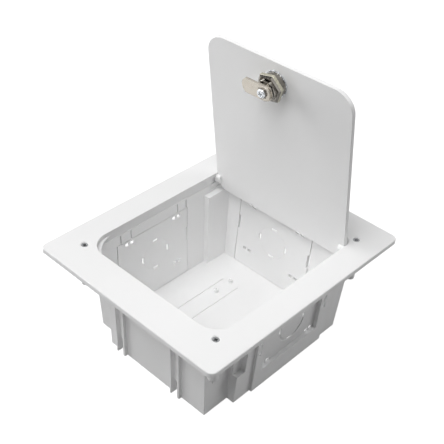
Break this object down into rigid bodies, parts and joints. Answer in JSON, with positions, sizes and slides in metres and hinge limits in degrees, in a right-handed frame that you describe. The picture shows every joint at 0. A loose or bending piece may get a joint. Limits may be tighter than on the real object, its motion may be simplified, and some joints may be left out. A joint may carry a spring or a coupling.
{
  "type": "flush mounting box",
  "caption": "White flush mounting box for a wall, with a screwed cover frame, a hinged lid with a cam lock that stands open, and snap-in cable entry panels.",
  "frame": {"origin": "centre of the bounding box's underside, which is the tub's underside below the lid opening's centre", "axes": "+Z out of the wall through the opening, +Y towards the hinge, +X to the right seen from the lock side"},
  "size_m": [0.2, 0.234, 0.2515],
  "materials": {
    "tub_plastic": "satin moulded white",
    "panel_plastic": "satin moulded white",
    "frame_plastic": "satin moulded white",
    "lid_plastic": "satin moulded white",
    "screw_steel": "zinc-plated steel",
    "lock_metal": "nickel-plated die casting",
    "nut_metal": "nickel-plated brass",
    "plug_metal": "nickel-plated die casting",
    "cam_steel": "nickel-plated steel",
    "washer_steel": "plain spring steel",
    "wafer_brass": "brass"
  },
  "bodies": {
    "box": {"box_body": "tub_plastic", "cover_frame": "frame_plastic", "entry_panel_right": "panel_plastic", "entry_panel_left": "panel_plastic", "entry_panel_back": "panel_plastic", "frame_screws": "screw_steel"},
    "lid_body": {"lid": "lid_plastic", "lock_housing": "lock_metal", "lock_tooth_washer": "washer_steel", "lock_nut": "nut_metal"},
    "lock_body": {"lock_plug": "plug_metal", "lock_wafers": "wafer_brass", "lock_stop_washer": "washer_steel", "lock_cam": "cam_steel", "lock_spring_washer": "washer_steel", "lock_cam_screw": "screw_steel"}
  },
  "joints": [
    {"name": "lid_hinge", "type": "hinge", "parent": "box", "child": "lid_body", "pos_m": [0, 0.07314, 0.09483], "axis": [1, 0, 0], "range_deg": [-25, 80.86]},
    {"name": "lock_turn", "type": "hinge", "parent": "lid_body", "child": "lock_body", "pos_m": [0, 0.05138, 0.23175], "axis": [0, 0.9873, 0.1588], "range_deg": [0, 90]}
  ]
}
